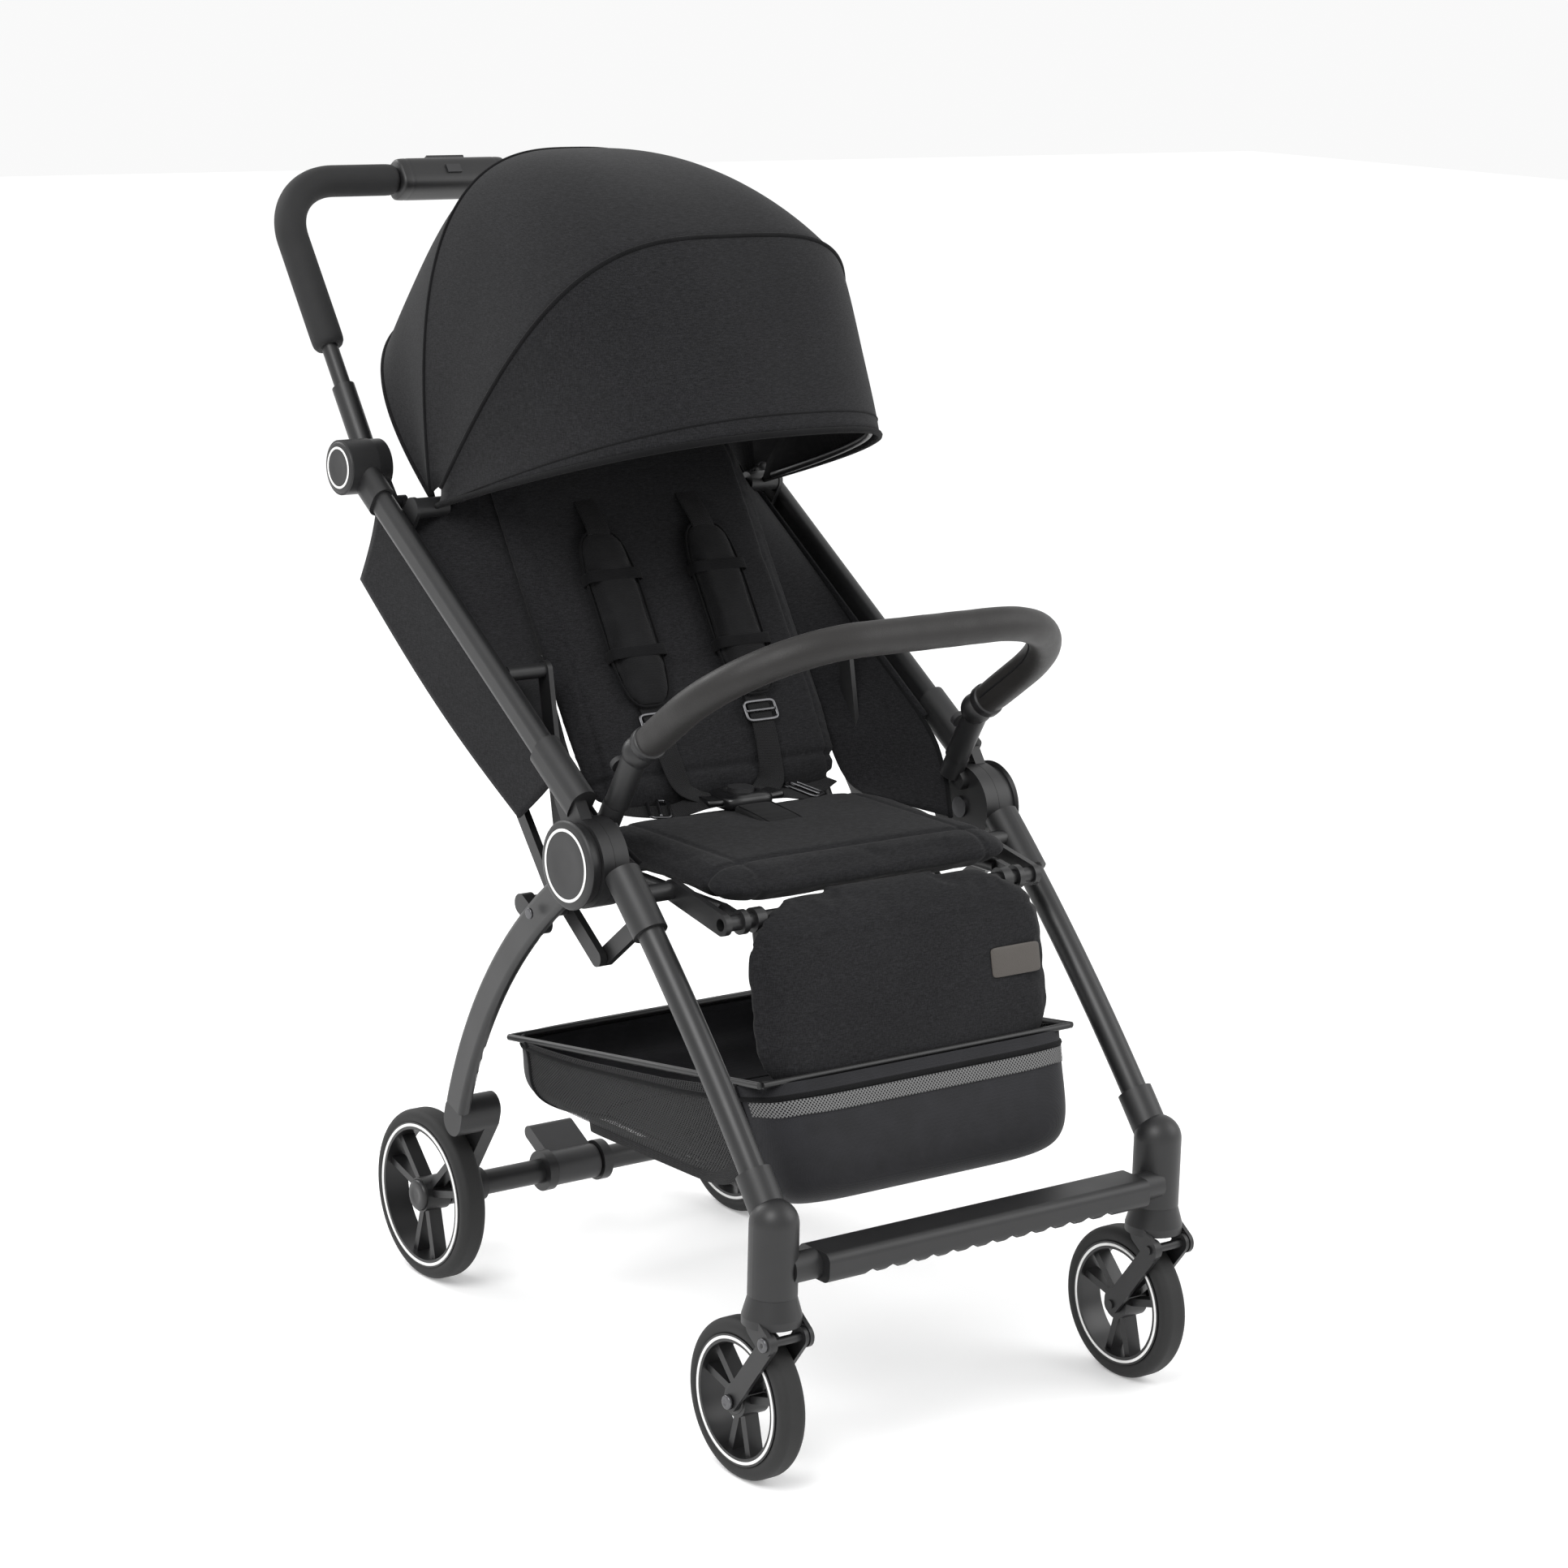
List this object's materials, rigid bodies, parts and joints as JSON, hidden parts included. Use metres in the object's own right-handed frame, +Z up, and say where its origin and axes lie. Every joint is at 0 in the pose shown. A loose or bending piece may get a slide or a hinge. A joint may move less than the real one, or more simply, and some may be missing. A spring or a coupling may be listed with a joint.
{
  "type": "baby stroller",
  "caption": "Compact self-folding baby stroller with reclining padded seat, hooded canopy, bumper bar, push handle, underseat basket, swivelling front casters and larger rear wheels.",
  "frame": {"origin": "On the floor, under the middle of the stroller's overall box", "axes": "+Z up, +X to the child's left, -Y towards the front casters, +Y towards the push handle"},
  "size_m": [0.482, 0.9326, 1.0846],
  "materials": {
    "black_tube": "matte black powder coat",
    "hub_plastic": "fine moulded texture, charcoal black",
    "caster_plastic": "satin moulded black",
    "canopy_fabric": "heathered charcoal woven cloth",
    "seat_fabric": "heathered charcoal woven cloth, padded",
    "pad_fabric": "soft black knit",
    "basket_nylon": "plain black nylon and mesh",
    "webbing": "ribbed woven webbing",
    "foam_grip": "fine closed-cell foam",
    "bumper_cover": "soft grained synthetic leather, dark grey-brown",
    "tyre_foam": "smooth solid foam tyre, matte",
    "rim_plastic": "satin moulded black",
    "button_plastic": "satin dark grey",
    "pin_steel": "plain steel pin",
    "bow_wire": "black coated spring wire"
  },
  "bodies": {
    "front_frame": {"front_legs": "black_tube", "front_hub_plates": "hub_plastic", "hub_pins": "pin_steel", "caster_housings": "caster_plastic", "footrest_bar": "caster_plastic", "footrest_stubs": "hub_plastic", "seat_brackets": "black_tube", "bumper_mounts": "hub_plastic", "basket_bag": "basket_nylon", "basket_rim": "bow_wire"},
    "rail_frame": {"seat_rails": "black_tube", "rail_sockets": "hub_plastic", "top_hinge_housings": "hub_plastic", "recline_brackets": "hub_plastic", "side_panels": "canopy_fabric", "canopy_clamps": "hub_plastic", "canopy_rear_bow": "bow_wire", "canopy_rear_panel": "canopy_fabric"},
    "canopy_middle": {"canopy_middle_bow": "bow_wire", "canopy_middle_panel": "canopy_fabric"},
    "canopy_front": {"canopy_front_bow": "bow_wire", "canopy_visor": "canopy_fabric"},
    "rear_frame": {"rear_legs": "black_tube", "rear_wheel_brackets": "hub_plastic", "rear_axle": "black_tube"},
    "brake_lever": {"brake_pedal": "button_plastic"},
    "rear_wheel_right": {"rear_wheel_right_tyre": "tyre_foam", "rear_wheel_right_rim": "rim_plastic"},
    "rear_wheel_left": {"rear_wheel_left_tyre": "tyre_foam", "rear_wheel_left_rim": "rim_plastic"},
    "caster_right": {"caster_head_right": "caster_plastic"},
    "caster_left": {"caster_head_left": "caster_plastic"},
    "arm_right": {"suspension_arm_right": "caster_plastic"},
    "arm_left": {"suspension_arm_left": "caster_plastic"},
    "front_wheel_right": {"front_wheel_right_tyre": "tyre_foam", "front_wheel_right_rim": "rim_plastic"},
    "front_wheel_left": {"front_wheel_left_tyre": "tyre_foam", "front_wheel_left_rim": "rim_plastic"},
    "strut_pair": {"side_struts": "black_tube"},
    "front_brace_pair": {"front_brace_arms": "black_tube"},
    "rear_brace_pair": {"rear_brace_arms": "black_tube"},
    "push_handle": {"handle_tube": "black_tube", "handle_grips": "foam_grip", "handle_control": "hub_plastic"},
    "fold_push_button": {"fold_button": "button_plastic"},
    "fold_lock": {"fold_lock_slider": "button_plastic"},
    "seat_base": {"seat_frame": "black_tube", "seat_pad": "seat_fabric", "crotch_strap": "pad_fabric", "harness_buckle": "caster_plastic"},
    "buckle_release": {"buckle_button": "button_plastic"},
    "backrest": {"backrest_frame": "black_tube", "backrest_pad": "seat_fabric", "shoulder_pads": "pad_fabric", "harness_straps": "webbing"},
    "leg_rest": {"legrest_frame": "black_tube", "legrest_pad": "seat_fabric"},
    "bumper_bar": {"bumper_frame": "caster_plastic", "bumper_sleeve": "bumper_cover"},
    "bumper_release": {"bumper_buttons": "button_plastic"}
  },
  "joints": [
    {"name": "fold", "type": "hinge", "parent": "front_frame", "child": "rail_frame", "pos_m": [0, -0.14704, 0.487], "axis": [-1, 0, 0], "range_deg": [0, 115], "deforming": ["side_panels", "canopy_rear_bow", "canopy_rear_panel", "canopy_middle_bow", "canopy_middle_panel", "canopy_front_bow", "canopy_visor", "seat_pad", "backrest_pad", "shoulder_pads", "harness_straps", "basket_bag", "basket_rim"]},
    {"name": "rear_leg_fold", "type": "hinge", "parent": "front_frame", "child": "rear_frame", "pos_m": [0, -0.14704, 0.487], "axis": [-1, 0, 0], "range_deg": [0, 50.1]},
    {"name": "seat_fold", "type": "hinge", "parent": "front_frame", "child": "seat_base", "pos_m": [0, -0.28704, 0.456], "axis": [-1, 0, 0], "range_deg": [0, 72.1], "deforming": ["crotch_strap"]},
    {"name": "handle_fold", "type": "hinge", "parent": "rail_frame", "child": "push_handle", "pos_m": [0, 0.24952, 0.78554], "axis": [1, 0, 0], "range_deg": [0, 135.1]},
    {"name": "strut_swing", "type": "hinge", "parent": "rear_frame", "child": "strut_pair", "pos_m": [0, -0.04904, 0.428], "axis": [-1, 0, 0], "range_deg": [0, 80.4]},
    {"name": "front_brace_swing", "type": "hinge", "parent": "front_frame", "child": "front_brace_pair", "pos_m": [0, -0.20504, 0.45], "axis": [-1, 0, 0], "range_deg": [0, 45.8]},
    {"name": "rear_brace_swing", "type": "hinge", "parent": "rear_frame", "child": "rear_brace_pair", "pos_m": [0, -0.08704, 0.43], "axis": [1, 0, 0], "range_deg": [0, 57.9]},
    {"name": "recline", "type": "hinge", "parent": "rail_frame", "child": "backrest", "pos_m": [0, -0.03504, 0.462], "axis": [1, 0, 0], "range_deg": [-35, 0]},
    {"name": "leg_rest_tilt", "type": "hinge", "parent": "front_frame", "child": "leg_rest", "pos_m": [0, -0.28704, 0.456], "axis": [-1, 0, 0], "range_deg": [0, 75], "deforming": ["legrest_pad"]},
    {"name": "canopy_fold", "type": "hinge", "parent": "rail_frame", "child": "canopy_front", "pos_m": [0, 0.16752, 0.75554], "axis": [-1, 0, 0], "range_deg": [0, 75], "deforming": ["canopy_front_bow", "canopy_visor", "canopy_middle_panel", "canopy_rear_panel"]},
    {"name": "canopy_middle_fold", "type": "hinge", "parent": "rail_frame", "child": "canopy_middle", "pos_m": [0, 0.16752, 0.75554], "axis": [-1, 0, 0], "range_deg": [0, 43.6], "deforming": ["canopy_middle_bow"]},
    {"name": "bumper_pull", "type": "slide", "parent": "front_frame", "child": "bumper_bar", "axis": [0, -0.4943, 0.8693], "range_m": [0, 0.04]},
    {"name": "bumper_release_press", "type": "slide", "parent": "bumper_bar", "child": "bumper_release", "axis": [0, -0.8693, -0.4943], "range_m": [0, 0.0025], "stiffness_N_per_m": 300, "springref_m": -0.001},
    {"name": "brake_press", "type": "hinge", "parent": "rear_frame", "child": "brake_lever", "pos_m": [-0.035, 0.14856, 0.0913], "axis": [-1, 0, 0], "range_deg": [0, 18]},
    {"name": "fold_button_press", "type": "slide", "parent": "push_handle", "child": "fold_push_button", "axis": [0, -0.5878, -0.809], "range_m": [0, 0.004], "stiffness_N_per_m": 400, "springref_m": -0.001},
    {"name": "fold_lock_slide", "type": "slide", "parent": "push_handle", "child": "fold_lock", "axis": [1, 0, 0], "range_m": [0, 0.006]},
    {"name": "buckle_press", "type": "slide", "parent": "seat_base", "child": "buckle_release", "axis": [0, 0, -1], "range_m": [0, 0.002], "stiffness_N_per_m": 400, "springref_m": -0.001},
    {"name": "caster_swivel_right", "type": "hinge", "parent": "front_frame", "child": "caster_right", "pos_m": [-0.215, -0.42704, 0.174], "axis": [0, 0, 1], "continuous": true},
    {"name": "suspension_right", "type": "hinge", "parent": "caster_right", "child": "arm_right", "pos_m": [-0.215, -0.44704, 0.139], "axis": [1, 0, 0], "range_deg": [0, 5], "stiffness_Nm_per_rad": 60, "springref_deg": -3.44},
    {"name": "front_wheel_spin_right", "type": "hinge", "parent": "arm_right", "child": "front_wheel_right", "pos_m": [-0.215, -0.39504, 0.0705], "axis": [1, 0, 0], "continuous": true},
    {"name": "rear_wheel_spin_right", "type": "hinge", "parent": "rear_frame", "child": "rear_wheel_right", "pos_m": [-0.1836, 0.17056, 0.0833], "axis": [1, 0, 0], "continuous": true},
    {"name": "caster_swivel_left", "type": "hinge", "parent": "front_frame", "child": "caster_left", "pos_m": [0.215, -0.42704, 0.174], "axis": [0, 0, 1], "continuous": true},
    {"name": "suspension_left", "type": "hinge", "parent": "caster_left", "child": "arm_left", "pos_m": [0.215, -0.44704, 0.139], "axis": [1, 0, 0], "range_deg": [0, 5], "stiffness_Nm_per_rad": 60, "springref_deg": -3.44},
    {"name": "front_wheel_spin_left", "type": "hinge", "parent": "arm_left", "child": "front_wheel_left", "pos_m": [0.215, -0.39504, 0.0705], "axis": [1, 0, 0], "continuous": true},
    {"name": "rear_wheel_spin_left", "type": "hinge", "parent": "rear_frame", "child": "rear_wheel_left", "pos_m": [0.1836, 0.17056, 0.0833], "axis": [1, 0, 0], "continuous": true}
  ],
  "couplings": [
    {"joint": "rear_leg_fold", "follows": "fold", "ratio": 0.435},
    {"joint": "seat_fold", "follows": "fold", "ratio": 0.626},
    {"joint": "handle_fold", "follows": "fold", "ratio": 1.174},
    {"joint": "strut_swing", "follows": "fold", "ratio": 0.698},
    {"joint": "front_brace_swing", "follows": "fold", "ratio": 0.397},
    {"joint": "rear_brace_swing", "follows": "fold", "ratio": 0.503},
    {"joint": "canopy_middle_fold", "follows": "canopy_fold", "ratio": 0.58}
  ]
}
